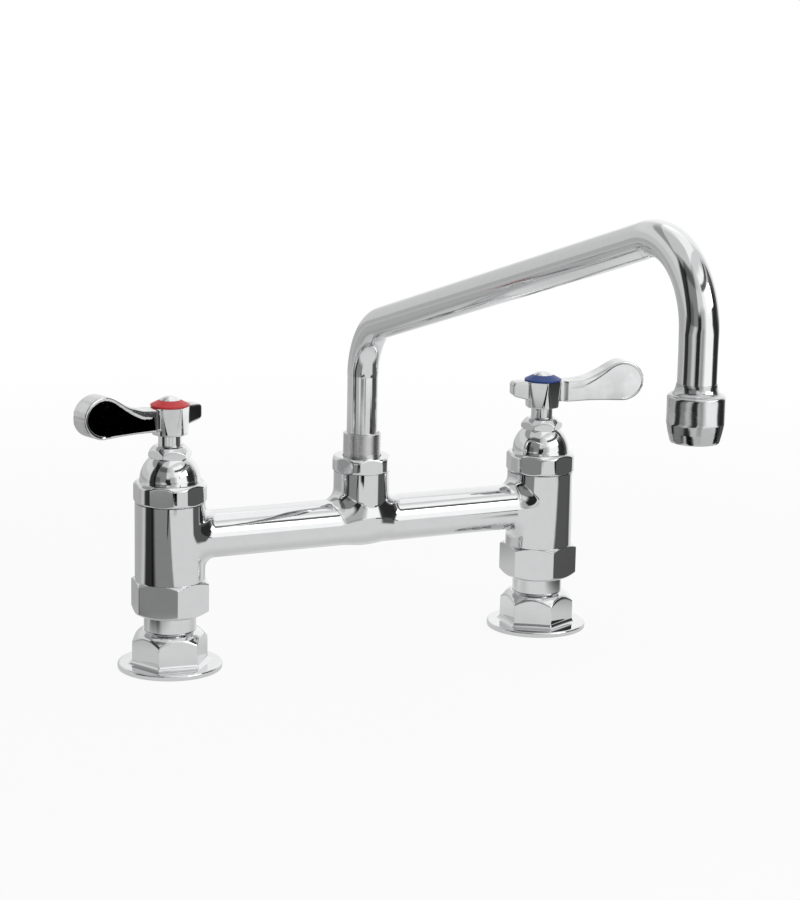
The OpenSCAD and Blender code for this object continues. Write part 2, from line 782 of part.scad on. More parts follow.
module nozzle_shell() {
    flare = nozzle_r - 0.7 - tube_r - 0.3;
    at_outlet() difference() {
        turned(concat([[0, z_outlet], [nozzle_rim_d / 2 - 0.6, z_outlet],
            [nozzle_rim_d / 2, z_outlet + 0.6],
            [(nozzle_r + nozzle_rim_d / 2) / 2 + 0.2, z_outlet + taper_h * 0.55],
            [nozzle_r, z_outlet + taper_h],
            [nozzle_r, z_nozzle_top - flare_h - 0.7],
            [nozzle_r - 0.2, z_nozzle_top - flare_h - 0.2],
            [nozzle_r - 0.7, z_nozzle_top - flare_h]],
            [for (i = [1:6]) [nozzle_r - 0.7 - flare * sin(i * 15),
                z_nozzle_top - flare_h * cos(i * 15)]],
            [[0, z_nozzle_top]]));
        bore(cavity_r, z_outlet - 1, z_cavity);
        bore(tube_r + fit_gap, z_cavity - 1, z_nozzle_top + 1);
    }
}

module washer_plate() {
    at_outlet() tube(insert_r, tube_bore_r, z_out_washer, z_out_washer + outlet_washer_t);
}

// Points of a square grid that lie within a radius
function grid_points(pitch, r) = let (n = ceil(r / pitch))
    [for (i = [-n:n], j = [-n:n]) if (norm([i, j] * pitch) <= r) [i, j] * pitch];

module honeycomb() {
    at_outlet() difference() {
        bore(insert_r, z_straightener, z_straightener + straightener_t);
        for (p = grid_points(straightener_pitch, retainer_bore_r - straightener_hole_d / 2))
            translate(p) bore(straightener_hole_d / 2, z_straightener - 1, z_out_washer + 1);
    }
}

module mesh_plate() {
    at_outlet() difference() {
        bore(insert_r, z_screen, z_screen + screen_t);
        for (p = grid_points(screen_pitch, retainer_bore_r - screen_hole))
            translate([p[0], p[1], z_screen + screen_t / 2])
                cube([screen_hole, screen_hole, screen_t + 1], center = true);
    }
}

module retainer() {
    at_outlet() tube(insert_r, retainer_bore_r, z_retainer, z_screen);
}

module bridge_body() {
    color(CHROME) cast_body();
}

module hot_deck_flange() {
    color(CHROME) valve_at(HOT) deck_flange(hot_flange_turn);
}

module hot_tailpiece() {
    color(CHROME) valve_at(HOT) tailpiece();
}

module hot_coupling_nut() {
    color(CHROME) valve_at(HOT) coupling_nut(hot_coupling_turn);
}

module hot_coupling_washer() {
    color(RUBBER) valve_at(HOT) coupling_washer();
}

module hot_cartridge_sleeve() {
    color(PLASTIC) valve_at(HOT) cartridge_sleeve();
}

module hot_seat_seal() {
    color(RUBBER) valve_at(HOT) seat_seal();
}

module hot_fixed_disc() {
    color(CERAMIC) handle_at(HOT) fixed_disc();
}

module hot_bonnet() {
    color(CHROME) valve_at(HOT) bonnet(hot_ring_turn);
}

module hot_bonnet_seal() {
    color(RUBBER) valve_at(HOT) bonnet_seal();
}

module hot_thrust_washer() {
    color(PLASTIC) valve_at(HOT) thrust_washer();
}

module hot_packing_ring() {
    color(PLASTIC) valve_at(HOT) packing_ring();
}

module hot_gland_nut() {
    color(CHROME) valve_at(HOT) gland_nut(hot_gland_turn);
}

module hot_turning_disc() {
    color(CERAMIC) handle_at(HOT) turning_disc();
}

module hot_stem() {
    color(CHROME) handle_at(HOT) stem();
}

module hot_stem_orings() {
    color(RUBBER) valve_at(HOT) stem_orings();
}

module hot_lever_handle() {
    color(CHROME) handle_at(HOT) handle();
}

module hot_index_ring() {
    color(RED) valve_at(HOT) index_cone();
}

module hot_index_button() {
    color(CHROME) valve_at(HOT) button();
}

module hot_handle_screw() {
    color(BRASS) handle_at(HOT) screw();
}

module cold_deck_flange() {
    color(CHROME) valve_at(COLD) deck_flange(cold_flange_turn);
}

module cold_tailpiece() {
    color(CHROME) valve_at(COLD) tailpiece();
}

module cold_coupling_nut() {
    color(CHROME) valve_at(COLD) coupling_nut(cold_coupling_turn);
}

module cold_coupling_washer() {
    color(RUBBER) valve_at(COLD) coupling_washer();
}

module cold_cartridge_sleeve() {
    color(PLASTIC) valve_at(COLD) cartridge_sleeve();
}

module cold_seat_seal() {
    color(RUBBER) valve_at(COLD) seat_seal();
}

module cold_fixed_disc() {
    color(CERAMIC) handle_at(COLD) fixed_disc();
}

module cold_bonnet() {
    color(CHROME) valve_at(COLD) bonnet(cold_ring_turn);
}

module cold_bonnet_seal() {
    color(RUBBER) valve_at(COLD) bonnet_seal();
}

module cold_thrust_washer() {
    color(PLASTIC) valve_at(COLD) thrust_washer();
}

module cold_packing_ring() {
    color(PLASTIC) valve_at(COLD) packing_ring();
}

module cold_gland_nut() {
    color(CHROME) valve_at(COLD) gland_nut(cold_gland_turn);
}

module cold_turning_disc() {
    color(CERAMIC) handle_at(COLD) turning_disc();
}

module cold_stem() {
    color(CHROME) handle_at(COLD) stem();
}

module cold_stem_orings() {
    color(RUBBER) valve_at(COLD) stem_orings();
}

module cold_lever_handle() {
    color(CHROME) handle_at(COLD) handle();
}

module cold_index_ring() {
    color(BLUE) valve_at(COLD) index_cone();
}

module cold_index_button() {
    color(CHROME) valve_at(COLD) button();
}

module cold_handle_screw() {
    color(BRASS) handle_at(COLD) screw();
}

module spout_nut() {
    color(CHROME) ferrule_nut();
}

module spout_tube() {
    color(CHROME) bent_tube();
}

module spout_ferrule() {
    color(STEEL) ferrule();
}

module spout_snap_ring() {
    color(STEEL) snap_ring();
}

module spout_orings() {
    color(RUBBER) ferrule_orings();
}

module nozzle() {
    color(CHROME) nozzle_shell();
}

module outlet_washer() {
    color(RUBBER) washer_plate();
}

module flow_straightener() {
    color(PLASTIC) honeycomb();
}

module outlet_screen() {
    color(STEEL) mesh_plate();
}

module outlet_retainer() {
    color(CHROME) retainer();
}

bridge_body();
hot_deck_flange();
hot_tailpiece();
hot_coupling_nut();
hot_coupling_washer();
hot_cartridge_sleeve();
hot_seat_seal();
hot_fixed_disc();
hot_bonnet();
hot_bonnet_seal();
hot_thrust_washer();
hot_packing_ring();
hot_gland_nut();
hot_turning_disc();
hot_stem();
hot_stem_orings();
hot_lever_handle();
hot_index_ring();
hot_index_button();
hot_handle_screw();
cold_deck_flange();
cold_tailpiece();
cold_coupling_nut();
cold_coupling_washer();
cold_cartridge_sleeve();
cold_seat_seal();
cold_fixed_disc();
cold_bonnet();
cold_bonnet_seal();
cold_thrust_washer();
cold_packing_ring();
cold_gland_nut();
cold_turning_disc();
cold_stem();
cold_stem_orings();
cold_lever_handle();
cold_index_ring();
cold_index_button();
cold_handle_screw();
spout_nut();
spout_tube();
spout_ferrule();
spout_snap_ring();
spout_orings();
nozzle();
outlet_washer();
flow_straightener();
outlet_screen();
outlet_retainer();
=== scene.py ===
import json
import math

import bmesh
import bpy
import numpy as np
from mathutils import Matrix, Vector

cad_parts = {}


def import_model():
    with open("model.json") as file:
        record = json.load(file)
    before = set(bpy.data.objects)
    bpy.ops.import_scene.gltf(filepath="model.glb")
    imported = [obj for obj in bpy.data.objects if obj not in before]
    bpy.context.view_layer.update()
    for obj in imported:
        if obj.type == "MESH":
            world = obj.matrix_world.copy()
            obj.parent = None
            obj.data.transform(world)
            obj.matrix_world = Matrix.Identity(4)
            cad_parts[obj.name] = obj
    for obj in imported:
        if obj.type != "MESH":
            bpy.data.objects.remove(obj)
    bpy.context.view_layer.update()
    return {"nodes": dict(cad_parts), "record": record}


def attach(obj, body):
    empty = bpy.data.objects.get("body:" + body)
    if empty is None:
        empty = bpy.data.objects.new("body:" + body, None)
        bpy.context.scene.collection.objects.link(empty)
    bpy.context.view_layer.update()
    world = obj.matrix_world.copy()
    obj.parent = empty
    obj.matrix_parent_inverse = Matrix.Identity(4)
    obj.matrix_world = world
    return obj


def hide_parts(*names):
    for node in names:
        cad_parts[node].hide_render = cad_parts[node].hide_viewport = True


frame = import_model()

# Sizes in mm that several pieces share, with heights above the deck

MM = 0.001
HALF = 101.6                # from the spout's axis to each valve's
AXIS_Z = 65.1               # axis of the bridge tube
NECK_R = 11.2               # tailpiece inside the flange
NECK_LOW = 11.0
BARREL_LOW, BARREL_TOP = 44.5, 82.88
POST_TOP = 90.9
STEM_R = 5.65
LEVER_LOW, LEVER_TOP = 116.4, 130.3
BUTTON_Z = 133.3            # where the button rests on its ring
TUBE_R, TUBE_BORE = 7.75, 6.75
SPOUT_REACH = 309.0         # from the post's axis to the nozzle's
HEX_CORNER = 1 / math.cos(math.radians(30))     # a hexagon's corner radius over half its width

HOT_DIR = math.radians(197.0)       # bearings of the two levers, closed
COLD_DIR = math.radians(-11.0)


# Camera, fitted to the photograph

CAMERA_AT = (-0.512366, -1.123157, 0.364979)    # metres
CAMERA_TURN = (25.405, 12.053, 1.117)           # degrees round, down and rolled
CAMERA_LENS = 101.13


def place_camera():
    az, el, roll = (math.radians(a) for a in CAMERA_TURN)
    back = Vector((-math.sin(az) * math.cos(el), -math.cos(az) * math.cos(el), math.sin(el)))
    level = (-back).cross(Vector((0, 0, 1))).normalized()
    upright = level.cross(-back)
    right = math.cos(roll) * level + math.sin(roll) * upright
    up = math.cos(roll) * upright - math.sin(roll) * level
    data = bpy.data.cameras.new("photo_camera")
    data.sensor_width = 36.0
    data.lens = CAMERA_LENS
    data.clip_start = 0.05
    data.clip_end = 30.0
    camera = bpy.data.objects.new("photo_camera", data)
    bpy.context.scene.collection.objects.link(camera)
    stand = Matrix((right, up, back)).transposed().to_4x4()
    stand.translation = Vector(CAMERA_AT)
    camera.matrix_world = stand
    bpy.context.scene.camera = camera


place_camera()
bpy.context.scene.view_settings.view_transform = "Standard"


# Shader helpers: every node comes from Shader.node, and its outputs work in Python expressions

class Val:
    """One output of a node. Each sum on it adds a Math node."""
    def __init__(self, shader, socket):
        self.shader, self.socket = shader, socket

    def _math(self, op, *values):
        return self.shader.node("Math", *values, settings={"operation": op})

    def __add__(self, o): return self._math("ADD", self, o)
    def __radd__(self, o): return self._math("ADD", o, self)
    def __sub__(self, o): return self._math("SUBTRACT", self, o)
    def __rsub__(self, o): return self._math("SUBTRACT", o, self)
    def __mul__(self, o): return self._math("MULTIPLY", self, o)
    def __rmul__(self, o): return self._math("MULTIPLY", o, self)
    def __truediv__(self, o): return self._math("DIVIDE", self, o)
    def __pow__(self, o): return self._math("POWER", self, o)
    def __abs__(self): return self._math("ABSOLUTE", self)
    def min(self, o): return self._math("MINIMUM", self, o)
    def max(self, o): return self._math("MAXIMUM", self, o)
    def wrapped(self, lo, hi): return self._math("WRAP", self, hi, lo)
    def angle_to(self, x): return self._math("ARCTAN2", self, x) * math.degrees(1.0)
    def arcsine(self): return self._math("ARCSINE", self) * math.degrees(1.0)


class Shader:
    """The nodes of one material, or of the world."""
    def __init__(self, name, holder=None):
        self.holder = holder or bpy.data.materials.new(name)
        self.holder.use_nodes = True
        self.tree = self.holder.node_tree
        self.tree.nodes.clear()

    def put(self, socket, value):
        if isinstance(value, Val):
            self.tree.links.new(value.socket, socket)
        else:
            socket.default_value = value

    def node(self, kind, *values, out=0, settings=None, **named):
        """Adds a node. Values go to its sockets in order, and named ones to the sockets of that name."""
        n = self.tree.nodes.new("ShaderNode" + kind)
        for k, v in (settings or {}).items():
            setattr(n, k, v)
        for socket, v in zip([i for i in n.inputs if i.enabled], values):
            self.put(socket, v)
        for k, v in named.items():
            self.put(n.inputs[k.replace("_", " ")], v)
        if isinstance(out, str):
            return Val(self, n.outputs[out])
        outs = [o for o in n.outputs if o.enabled]
        return Val(self, outs[out]) if outs else None

    def coords(self, name):
        return self.node("TexCoord", out=name)

    def place(self, scale=(1, 1, 1)):
        return self.node("Mapping", Vector=self.coords("Object"), Scale=scale)

    def parts(self, vector):
        return [self.node("SeparateXYZ", vector, out=axis) for axis in "XYZ"]

    def noise(self, where, scale, detail, rough):
        return self.node("TexNoise", Vector=where, Scale=scale, Detail=detail, Roughness=rough)

    def band(self, value, lo, hi, a=0.0, b=1.0, kind="LINEAR"):
        """Goes from a to b while the value goes from lo to hi."""
        return self.node("MapRange", value, lo, hi, a, b, settings={"interpolation_type": kind})

    def ease(self, value, lo, hi, a=0.0, b=1.0):
        return self.band(value, lo, hi, a, b, "SMOOTHSTEP")

    def mix(self, factor, *colours):
        colours = [(*c, 1.0) if isinstance(c, tuple) else c for c in colours]
        return self.node("Mix", factor, *colours, settings={"data_type": "RGBA"})

    def bump(self, height, strength, distance):
        return self.node("Bump", Height=height, Strength=strength, Distance=distance)

    def seen_by(self, *rays):
        """One where a ray of these kinds arrives, and nothing elsewhere."""
        first, *others = [self.node("LightPath", out="Is %s Ray" % ray) for ray in rays]
        for other in others:
            first = first.max(other)
        return first

    def finish(self, shader, kind="Material"):
        self.node("Output" + kind, Surface=shader)
        return self.holder


# Finishes

def shade(tint, factor):
    return tuple(factor * c for c in tint)


def chrome(name, tint, rough, wave, wave_scale=60.0, spread=0.05, smudge=0.0):
    """Polished plating: faint smears in the polish and the slow unevenness of buffed metal."""
    s = Shader(name)
    p = s.place()
    smear = s.noise(p, 240.0, detail=5.0, rough=0.65)
    slow = s.noise(p, wave_scale, detail=2.0, rough=0.4)
    tone = s.mix(s.band(smear, 0.35, 0.7), shade(tint, 0.96), tint)
    if smudge:
        blot = s.ease(s.noise(p, 75.0, detail=3.0, rough=0.5), 0.42, 0.62, smudge, 0.0)
        tone = s.mix(blot, tone, shade(tint, 0.5))
    return s.finish(s.node("BsdfPrincipled", Base_Color=tone, Metallic=1.0,
                           Roughness=s.band(smear, 0.45, 0.75, rough, rough + spread),
                           Normal=s.bump(slow, 1.0, wave)))


def brushed(name, tint):
    """Turned satin metal: fine grooves round the axis."""
    s = Shader(name)
    grooves = s.noise(s.place((1.0, 1.0, 60.0)), 90.0, detail=3.0, rough=0.7)
    return s.finish(s.node("BsdfPrincipled", Metallic=1.0,
                           Base_Color=s.mix(s.band(grooves, 0.3, 0.7), shade(tint, 0.92), tint),
                           Roughness=s.band(grooves, 0.3, 0.7, 0.22, 0.28),
                           Normal=s.bump(grooves, 0.05, 0.00003)))


def plain(name, tint, rough, coat=0.0):
    """Rubber, plastic, ceramic or enamel with a fine surface grain."""
    s = Shader(name)
    grain = s.noise(s.place(), 900.0, detail=3.0, rough=0.6)
    return s.finish(s.node("BsdfPrincipled", Coat_Weight=coat,
                           Base_Color=s.mix(s.band(grain, 0.3, 0.7), shade(tint, 0.9), tint),
                           Roughness=s.band(grain, 0.3, 0.7, rough * 0.9, rough * 1.1),
                           Normal=s.bump(grain, 0.4, 0.00001)))


CHROME_TINT = (0.70, 0.705, 0.71)
chrome_cast = chrome("chrome_cast", CHROME_TINT, 0.035, 0.00010, 55.0)
chrome_turned = chrome("chrome_turned", CHROME_TINT, 0.03, 0.00003, 70.0)
chrome_lever = chrome("chrome_lever", CHROME_TINT, 0.02, 0.00001, spread=0.015, smudge=0.3)
chrome_tube = chrome("chrome_tube", CHROME_TINT, 0.08, 0.00005, 45.0)
chrome_nozzle = chrome("chrome_nozzle", (0.62, 0.625, 0.63), 0.12, 0.00010, 160.0, smudge=0.3)
satin = brushed("satin_ferrule", (0.60, 0.60, 0.60))
red = plain("red_index", (0.70, 0.022, 0.030), 0.4)
blue = plain("blue_index", (0.003, 0.045, 0.24), 0.4)
rubber = plain("black_rubber", (0.03, 0.03, 0.03), 0.6)
ceramic = plain("ceramic", (0.86, 0.85, 0.82), 0.12, 0.2)
plastic = plain("white_plastic", (0.82, 0.82, 0.84), 0.45)
steel = brushed("screen_steel", (0.62, 0.62, 0.60))
brass = brushed("plain_brass", (0.78, 0.58, 0.24))


# Outlines for turned pieces: lists of (radius, height), with an optional rounding at each corner

HALF_TURN_STEPS = 20        # how finely a rounding is divided


def rounded(points):
    """Turns (r, z) or (r, z, rounding) corners into a smooth outline."""
    out = []
    for i, point in enumerate(points):
        rounding = point[2] if len(point) > 2 else 0.0
        corner = np.array(point[:2], float)
        if rounding <= 0 or i in (0, len(points) - 1):
            out.append(tuple(corner))
            continue
        back = np.array(points[i - 1][:2], float) - corner
        ahead = np.array(points[i + 1][:2], float) - corner
        back_run, ahead_run = np.linalg.norm(back), np.linalg.norm(ahead)
        back, ahead = back / back_run, ahead / ahead_run
        half = math.acos(max(-1, min(1, float(back @ ahead)))) / 2
        cut_off = min(rounding / math.tan(half), 0.49 * back_run, 0.49 * ahead_run)
        radius = cut_off * math.tan(half)
        middle = (back + ahead) / np.linalg.norm(back + ahead)
        centre = corner + middle * radius / math.sin(half)
        start, stop = corner + back * cut_off, corner + ahead * cut_off
        from_angle = math.atan2(*(start - centre)[::-1])
        to_angle = math.atan2(*(stop - centre)[::-1])
        sweep = (to_angle - from_angle + math.pi) % (2 * math.pi) - math.pi
        count = max(2, int(abs(sweep) / math.pi * HALF_TURN_STEPS))
        for j in range(count + 1):
            t = from_angle + sweep * j / count
            out.append((centre[0] + radius * math.cos(t), centre[1] + radius * math.sin(t)))
    return out


def divided(path, step):
    """The same outline with no stretch longer than step."""
    out = [path[0]]
    for (r0, z0), (r1, z1) in zip(path, path[1:]):
        k = max(1, int(math.ceil(math.hypot(r1 - r0, z1 - z0) / step)))
        out += [(r0 + (r1 - r0) * j / k, z0 + (z1 - z0) * j / k) for j in range(1, k + 1)]
    return out


def arc(centre_r, centre_z, radius_r, radius_z, from_deg, to_deg, steps):
    angles = [math.radians(from_deg + (to_deg - from_deg) * i / steps) for i in range(steps + 1)]
    return [(centre_r + radius_r * math.cos(a), centre_z + radius_z * math.sin(a)) for a in angles]


def spun(path, segs):
    """A bmesh, in mm, of the outline turned about Z, closed if it starts or ends off the axis."""
    bm = bmesh.new()
    vs = [bm.verts.new((r, 0.0, z)) for r, z in path]
    es = [bm.edges.new(p) for p in zip(vs, vs[1:])]
    if path[0][0] > 1e-6 or path[-1][0] > 1e-6:
        es.append(bm.edges.new((vs[-1], vs[0])))
    bmesh.ops.spin(bm, geom=vs + es, cent=(0, 0, 0), axis=(0, 0, 1), angle=2 * math.pi,
                   steps=segs, use_merge=True)
    bmesh.ops.remove_doubles(bm, verts=bm.verts, dist=1e-4)
    bmesh.ops.recalc_face_normals(bm, faces=bm.faces)
    return bm


def to_object(bm, name, body, node, material, at=(0.0, 0.0), sharp=40.0, weighted=True):
    """Places a bmesh built in mm in the frame, in metres, as one piece of the object."""
    for v in bm.verts:
        v.co = Vector(((v.co.x + at[0]) * MM, (v.co.y + at[1]) * MM, v.co.z * MM))
    mesh = bpy.data.meshes.new(name)
    bm.to_mesh(mesh)
    bm.free()
    mesh.shade_smooth()
    mesh.set_sharp_from_angle(angle=math.radians(sharp))
    obj = bpy.data.objects.new(name, mesh)
    bpy.context.scene.collection.objects.link(obj)
    obj.data.materials.append(material)
    if weighted:
        m = obj.modifiers.new("normals", "WEIGHTED_NORMAL")
        m.keep_sharp = True
    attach(obj, body)
    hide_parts(node)
    return obj


def smin(a, b, k):
    """The smaller of two, blended where they differ by less than k."""
    h = max(k - abs(a - b), 0.0) / k
    return min(a, b) - h * h * k / 4


def hex_radius(theta, flats, turn):
    """Distance from the axis to a hexagon with slightly rounded corners; turn is a corner's angle."""
    d = (theta - turn) % (math.pi / 3) - math.pi / 6
    a = flats / 2 / math.cos(d)
    b = flats / 2 / math.cos(math.pi / 3 - abs(d))
    return smin(a, b, 0.35)


def hexed(path, flats, turn, reach=None, k=0.3):
    """Turned outline with six flats milled on it; more vertices gather at the corners."""
    bm = spun(path, 288)
    turn = math.radians(turn)
    for v in bm.verts:
        r = math.hypot(v.co.x, v.co.y)
        if r < 1e-6:
            continue
        u = math.atan2(v.co.y, v.co.x)
        theta = u - 0.8 * math.sin(6 * (u - turn)) / 6
        flat = hex_radius(theta, flats, turn)
        r = reach(r, v.co.z, flat) if reach else smin(r, flat, k)
        v.co.x, v.co.y = r * math.cos(theta), r * math.sin(theta)
    return bm


# The two valves, from the deck up. Each piece stands on its valve's axis at x.

def flange(side, x, turn):
    """Deck flange: round foot, cove, hexagon and domed shoulder."""
    flats, bore, foot_r, foot_z, cove_r, top = 33.0, 9.3, 25.6, 2.8, 2.4, 19.5
    corner = flats / 2 * HEX_CORNER
    mouth = NECK_R + 0.05
    cove_top = foot_z + cove_r
    foot = [(bore, 0.0, 0.3), (foot_r, 0.0, 0.5), (foot_r, foot_z, 0.95), (corner + cove_r, foot_z)]
    cove = arc(corner + cove_r, cove_top, cove_r, cove_r, 270, 180, 10)
    shoulder = [(corner - 0.55, 14.9), (corner - 1.55, 16.05), (corner - 2.55, 17.35),
                (corner - 3.7, 18.45), (corner - 4.9, 19.15), (13.4, top)]
    inside = [(mouth, top), (mouth, NECK_LOW), (bore, NECK_LOW)]
    path = rounded(foot) + cove[1:] + [(corner, 6.0), (corner, 14.2)] + shoulder + inside

    def reach(r, z, flat):
        if z < foot_z - 0.2 or r < mouth + 0.75:
            return r
        if z <= cove_top:
            return r + (flat - corner) * max(0.0, min(1.0, (foot_r - 0.6 - r) / 2.6))
        return smin(r, flat, 0.5) if z > 12.5 else flat

    to_object(hexed(divided(path, 0.6), flats, turn, reach), side + "_flange_look", "faucet",
              side + "_deck_flange", chrome_turned, (x, 0.0), 50.0)


def tailpiece(side, x):
    """Neck between flange and coupling nut, with the collar that the nut pulls on."""
    bore, body_r, collar_r, rest, collar_low, collar_top = 8.0, 12.75, 14.8, 19.52, 30.45, 33.45
    path = rounded([(bore, NECK_LOW, 0.2), (NECK_R, NECK_LOW, 0.3), (NECK_R, rest), (body_r, rest, 0.2),
                    (body_r, collar_low), (collar_r, collar_low, 0.3), (collar_r, collar_top, 0.3),
                    (bore, collar_top, 0.2), (bore, NECK_LOW + 0.2)])
    to_object(spun(divided(path, 1.5), 128), side + "_tailpiece_look", "faucet",
              side + "_tailpiece", chrome_turned, (x, 0.0))


def coupling(side, x, turn):
    """Coupling nut, chamfered below and above."""
    flats, bore, thread_r, low, shelf, top = 34.7, 12.85, 15.2, 27.4, 30.4, 44.48
    corner = flats / 2 * HEX_CORNER
    path = rounded([(bore, low, 0.25), (corner - 4.2, low, 0.6), (corner + 0.6, 30.1),
                    (corner + 0.6, 42.85), (corner - 2.3, top, 0.5), (thread_r, top),
                    (thread_r, shelf), (bore, shelf)])
    to_object(hexed(divided(path, 0.35), flats, turn), side + "_coupling_look", "faucet",
              side + "_coupling_nut", chrome_turned, (x, 0.0), 60.0)


def bonnet(side, x, turn):
    """Bonnet: wrench ring with six flats, and the dome above it."""
    bore, thread_r, ring_r, dome_r, dome_z = 8.25, 12.9, 17.8, 14.7, 94.0
    low, seat, top = 80.0, 82.9, 105.23
    path = rounded([(bore, low), (thread_r, low), (thread_r, seat), (16.6, seat, 0.5),
                    (ring_r, 84.3, 0.9), (ring_r, 91.9, 1.3), (16.4, 93.25, 0.7), (15.0, 93.3, 0.25)])
    path += arc(0.0, dome_z, dome_r, dome_r, 2.0, 49.8, 26) + [(bore, top)]
    to_object(hexed(divided(path, 0.4), 33.8, turn, k=0.25), side + "_bonnet_look", "faucet",
              side + "_bonnet", chrome_turned, (x, 0.0), 50.0)


def gland(side, x, turn):
    """Small hexagonal nut round the stem."""
    flats, thread_r, bore, low, rest, top = 18.7, 8.2, STEM_R + 0.1, 100.3, 105.22, 111.1
    corner = flats / 2 * HEX_CORNER
    path = rounded([(thread_r, low), (thread_r, rest), (corner - 1.2, rest, 0.3), (corner + 0.4, 106.1),
                    (corner + 0.4, 107.2), (8.2, 110.5, 0.9), (7.2, top, 0.3), (bore, top, 0.2),
                    (bore, low)])
    to_object(hexed(divided(path, 0.3), flats, turn), side + "_gland_look", "faucet",
              side + "_gland_nut", chrome_turned, (x, 0.0), 60.0)


def stem(side, x):
    """Valve stem: driving flange, thrust flange, sealing length, shaft, drive and screw hole."""
    path = rounded([(0.0, 61.25), (9.5, 61.25, 0.2), (9.5, 63.0, 0.2), (4.0, 63.0), (4.0, 72.8),
                    (10.0, 72.8, 0.2), (10.0, 75.3, 0.2), (6.9, 75.3), (6.9, 97.5, 0.3),
                    (STEM_R, 97.5), (STEM_R, 117.9), (4.9, 117.9), (4.9, 127.3), (2.15, 127.3),
                    (2.15, 117.4), (0.0, 117.4)])
    to_object(spun(divided(path, 1.5), 96), side + "_stem_look", side + "_handle",
              side + "_stem", chrome_turned, (x, 0.0))


def index(side, x, material):
    """Coloured ring on the lever's hub, and the domed button in it."""
    bore = 3.9
    path = rounded([(bore, LEVER_TOP), (9.3, LEVER_TOP, 0.15), (9.5, 130.6, 0.25), (9.5, 131.05, 0.4),
                    (5.15, 133.25, 0.3), (bore, BUTTON_Z, 0.1)])
    to_object(spun(path, 128), side + "_index_look", side + "_handle",
              side + "_index_ring", material, (x, 0.0))
    path = rounded([(0.0, BUTTON_Z - 1.0), (bore - 0.05, BUTTON_Z - 1.0, 0.2), (bore - 0.05, BUTTON_Z),
                    (5.05, BUTTON_Z, 0.2)])
    path += arc(0.0, 127.2, 7.9, 7.9, 50.8, 90, 14)[1:]
    to_object(spun(path, 96), side + "_button_look", side + "_handle",
              side + "_index_button", chrome_turned, (x, 0.0))


def valve(side, x, colour, flange_turn, coupling_turn, bonnet_turn, gland_turn):
    flange(side, x, flange_turn)
    tailpiece(side, x)
    coupling(side, x, coupling_turn)
    bonnet(side, x, bonnet_turn)
    gland(side, x, gland_turn)
    stem(side, x)
    index(side, x, colour)


valve("hot", -HALF, red, 54, 21, 26, 52)
valve("cold", HALF, blue, 26, 26, 16, 40)


# Castings and levers: rough solids are joined, remeshed and drawn onto a smooth blended surface

def round_union(a, b, r):
    u, v = np.maximum(r - a, 0), np.maximum(r - b, 0)
    return np.maximum(r, np.minimum(a, b)) - np.sqrt(u * u + v * v)


def round_common(a, b, r):
    u, v = np.maximum(r + a, 0), np.maximum(r + b, 0)
    return np.minimum(-r, np.maximum(a, b)) + np.sqrt(u * u + v * v)


def slope(f, p, h=0.02):
    return np.stack([f(p + h * e) - f(p - h * e) for e in np.eye(3)], 1) / (2 * h)


def remeshed(bm, voxel):
    """The solids in bm as one even skin."""
    mesh = bpy.data.meshes.new("rough")
    bm.to_mesh(mesh)
    bm.free()
    obj = bpy.data.objects.new("rough", mesh)
    bpy.context.scene.collection.objects.link(obj)
    m = obj.modifiers.new("skin", "REMESH")
    m.mode = "VOXEL"
    m.voxel_size = voxel
    seen = obj.evaluated_get(bpy.context.evaluated_depsgraph_get())
    skin = bpy.data.meshes.new_from_object(seen)
    bpy.data.objects.remove(obj)
    out = bmesh.new()
    out.from_mesh(skin)
    bpy.data.meshes.remove(skin)
    bpy.data.meshes.remove(mesh)
    return out


def drawn(bm, f, near, rounds=3):
    """Moves the vertices that lie near it onto the surface f = 0, and evens them out between rounds."""
    for done in range(rounds + 1):
        p = np.array([v.co[:] for v in bm.verts])
        for _ in range(4):
            d = f(p)
            g = slope(f, p)
            steepness = np.maximum((g * g).sum(1), 0.05)
            move = np.where(np.abs(d) < near, d / steepness, 0.0)
            p = p - move[:, None] * g
        for v, q in zip(bm.verts, p):
            v.co = q
        if done == rounds:
            break
        for _ in range(2):
            bmesh.ops.smooth_vert(bm, verts=bm.verts, factor=0.5,
                                  use_axis_x=True, use_axis_y=True, use_axis_z=True)
    return bm


def true_normals(obj, f, cut_cos):
    """Shading normals straight from the surface function, except on cut ends."""
    mesh = obj.data
    p = np.array([v.co[:] for v in mesh.vertices]) / MM
    g = slope(f, p)
    g /= np.maximum(np.linalg.norm(g, axis=1), 1e-9)[:, None]
    normals = []
    for poly in mesh.polygons:
        for vi in poly.vertices:
            n = Vector(g[vi])
            normals.append(n if n.dot(poly.normal) > cut_cos else poly.normal)
    mesh.normals_split_custom_set(normals)


def add_rod(bm, a, b, r, segs=48):
    a, b = Vector(a), Vector(b)
    turn = (b - a).to_track_quat("Z", "Y").to_matrix().to_4x4()
    bmesh.ops.create_cone(bm, cap_ends=True, segments=segs, radius1=r, radius2=r,
                          depth=(b - a).length, matrix=Matrix.Translation((a + b) / 2) @ turn)


def cut(bm, region, at, normal):
    """Cuts the part of bm that region picks, drops what lies beyond, and closes the cut."""
    verts = [v for v in bm.verts if region(v.co)]
    keep = set(verts)
    geom = verts + [e for e in bm.edges if all(v in keep for v in e.verts)]
    geom += [q for q in bm.faces if all(v in keep for v in q.verts)]
    res = bmesh.ops.bisect_plane(bm, geom=geom, dist=1e-4, plane_co=at, plane_no=normal,
                                 clear_outer=True)
    edges = [e for e in res["geom_cut"] if isinstance(e, bmesh.types.BMEdge)]
    bmesh.ops.edgeloop_fill(bm, edges=edges)


BRIDGE_R, BARREL_R, POST_R = 11.65, 17.07, 13.95
POST_FILLET, BARREL_FILLET = 6.0, 5.0


